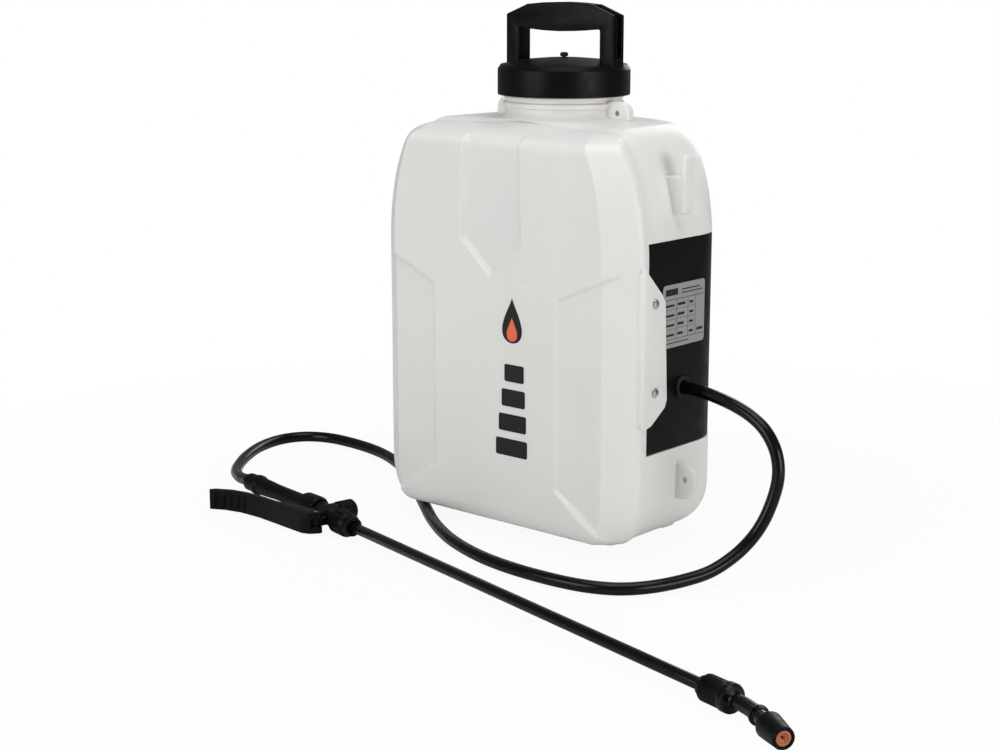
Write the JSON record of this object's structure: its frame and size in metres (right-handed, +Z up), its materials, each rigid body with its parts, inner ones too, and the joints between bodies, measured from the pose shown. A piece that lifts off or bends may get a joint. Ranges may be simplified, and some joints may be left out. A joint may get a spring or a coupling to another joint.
{
  "type": "backpack sprayer",
  "caption": "Battery knapsack sprayer: upright translucent tank, wide screw lid with carrying handle, side pump casing, hose, trigger handset and lance with angled nozzle.",
  "frame": {"origin": "on the floor under the centre of the filler lid, at the middle of the tank's underside", "axes": "+Z up; -Y is the tank's front, away from the wearer; +X is the side the hose leaves, and the lance points roughly along it"},
  "size_m": [0.926, 0.4211, 0.5013],
  "materials": {
    "tank_white": "satin, translucent",
    "black_plastic": "satin",
    "rubber_black": "matte",
    "steel": "satin",
    "plate_grey": "satin",
    "motor_steel": "satin",
    "board_green": "satin",
    "pack_black": "satin",
    "red_plastic": "satin",
    "insert_brown": "satin",
    "filter_grey": "matte",
    "brass": "satin",
    "clear_tube": "satin",
    "hose_black": "gloss"
  },
  "bodies": {
    "stand": {"tank": "tank_white", "tank_neck": "tank_white", "fill_basket": "black_plastic", "tank_outlet": "black_plastic", "outlet_strainer": "filter_grey", "pump_casing": "black_plastic", "rating_plate": "plate_grey", "hose_bush": "rubber_black", "outlet_tail": "black_plastic", "pump_head": "black_plastic", "diaphragm": "rubber_black", "drive_housing": "black_plastic", "motor_can": "motor_steel", "pump_bracket": "steel", "pressure_switch": "black_plastic", "suction_tube": "clear_tube", "pressure_tube": "rubber_black", "control_board": "board_green", "speed_pot": "motor_steel", "rocker_frame": "black_plastic", "battery_terminal": "black_plastic", "hose": "hose_black", "grip_tail": "black_plastic", "grip_barrel": "black_plastic", "grip_filter": "filter_grey", "valve_body": "black_plastic", "lever_pin": "steel", "lance_seal": "rubber_black", "lance_tube": "black_plastic", "nozzle_seal": "rubber_black", "nozzle_elbow": "black_plastic", "valve_spring": "steel"},
    "flange_screw_1": {"flange_screw_1": "steel"},
    "flange_screw_2": {"flange_screw_2": "steel"},
    "drive": {"drive_hub": "steel", "motor_shaft": "steel"},
    "speed_knob": {"speed_knob": "black_plastic"},
    "power_rocker": {"power_rocker": "red_plastic"},
    "battery": {"battery_pack": "pack_black"},
    "battery_button": {"battery_button": "red_plastic"},
    "lid_rise": {"lid_gasket": "rubber_black"},
    "lid": {"lid": "black_plastic", "vent_valve": "rubber_black"},
    "hose_nut": {"hose_nut": "black_plastic"},
    "trigger_lever": {"trigger_lever": "black_plastic"},
    "valve_plunger": {"valve_plunger": "brass", "plunger_seal": "rubber_black"},
    "spring_cap": {"spring_cap": "black_plastic"},
    "lance_nut": {"lance_nut": "black_plastic"},
    "nozzle_nut": {"nozzle_nut": "black_plastic"},
    "nozzle_cap": {"nozzle_cap": "black_plastic", "nozzle_insert": "insert_brown", "swirl_disc": "filter_grey"}
  },
  "joints": [
    {"name": "lid_gasket_rise", "type": "slide", "parent": "stand", "child": "lid_rise", "axis": [0, 0, 1], "range_m": [0, 0.012]},
    {"name": "lid_turn", "type": "hinge", "parent": "lid_rise", "child": "lid", "pos_m": [0, 0, 0.43], "axis": [0, 0, 1], "range_deg": [0, 540]},
    {"name": "motor_spin", "type": "hinge", "parent": "stand", "child": "drive", "pos_m": [0.078, 0.04, 0.2], "axis": [0, 0, 1], "continuous": true},
    {"name": "speed_knob_turn", "type": "hinge", "parent": "stand", "child": "speed_knob", "pos_m": [-0.165, -0.02, 0.205], "axis": [-1, 0, 0], "range_deg": [0, 270]},
    {"name": "power_rocker_tilt", "type": "hinge", "parent": "stand", "child": "power_rocker", "pos_m": [-0.153, -0.02, 0.25], "axis": [0, 1, 0], "range_deg": [0, 12]},
    {"name": "battery_slide", "type": "slide", "parent": "stand", "child": "battery", "axis": [-1, 0, 0], "range_m": [0, 0.125]},
    {"name": "battery_button_press", "type": "slide", "parent": "battery", "child": "battery_button", "axis": [1, 0, 0], "range_m": [0, 0.0025], "stiffness_N_per_m": 800, "springref_m": -0.001},
    {"name": "trigger_squeeze", "type": "hinge", "parent": "stand", "child": "trigger_lever", "pos_m": [-0.13253, -0.20753, 0.0125], "axis": [0, 0, -1], "range_deg": [0, 15], "stiffness_Nm_per_rad": 0.6, "springref_deg": -11.46},
    {"name": "plunger_travel", "type": "slide", "parent": "stand", "child": "valve_plunger", "axis": [0.1564, 0.9877, 0], "range_m": [0, 0.005], "deforming": ["valve_spring"]},
    {"name": "spring_cap_turn", "type": "hinge", "parent": "stand", "child": "spring_cap", "pos_m": [-0.139, -0.15892, 0.0125], "axis": [0.1564, 0.9877, 0], "range_deg": [0, 720]},
    {"name": "hose_nut_turn", "type": "hinge", "parent": "stand", "child": "hose_nut", "pos_m": [-0.28321, -0.15532, 0.0125], "axis": [0.9877, -0.1564, 0], "range_deg": [0, 720]},
    {"name": "lance_nut_turn", "type": "hinge", "parent": "stand", "child": "lance_nut", "pos_m": [-0.1075, -0.1925, 0.0125], "axis": [0.9767, -0.2147, 0], "range_deg": [0, 720]},
    {"name": "nozzle_nut_turn", "type": "hinge", "parent": "stand", "child": "nozzle_nut", "pos_m": [0.40721, -0.30567, 0.0125], "axis": [0.9767, -0.2147, 0], "range_deg": [0, 720]},
    {"name": "nozzle_cap_turn", "type": "hinge", "parent": "stand", "child": "nozzle_cap", "pos_m": [0.48334, -0.33873, 0.0125], "axis": [0.8443, -0.5358, 0], "range_deg": [0, 540]},
    {"name": "flange_screw_1_turn", "type": "hinge", "parent": "stand", "child": "flange_screw_1", "pos_m": [0.157, -0.0625, 0.24], "axis": [1, 0, 0], "continuous": true},
    {"name": "flange_screw_2_turn", "type": "hinge", "parent": "stand", "child": "flange_screw_2", "pos_m": [0.157, -0.0615, 0.159], "axis": [1, 0, 0], "continuous": true}
  ],
  "couplings": [
    {"joint": "lid_gasket_rise", "follows": "lid_turn", "m_per_rad": 0.0012732},
    {"joint": "plunger_travel", "follows": "trigger_squeeze", "m_per_rad": 0.0165}
  ]
}
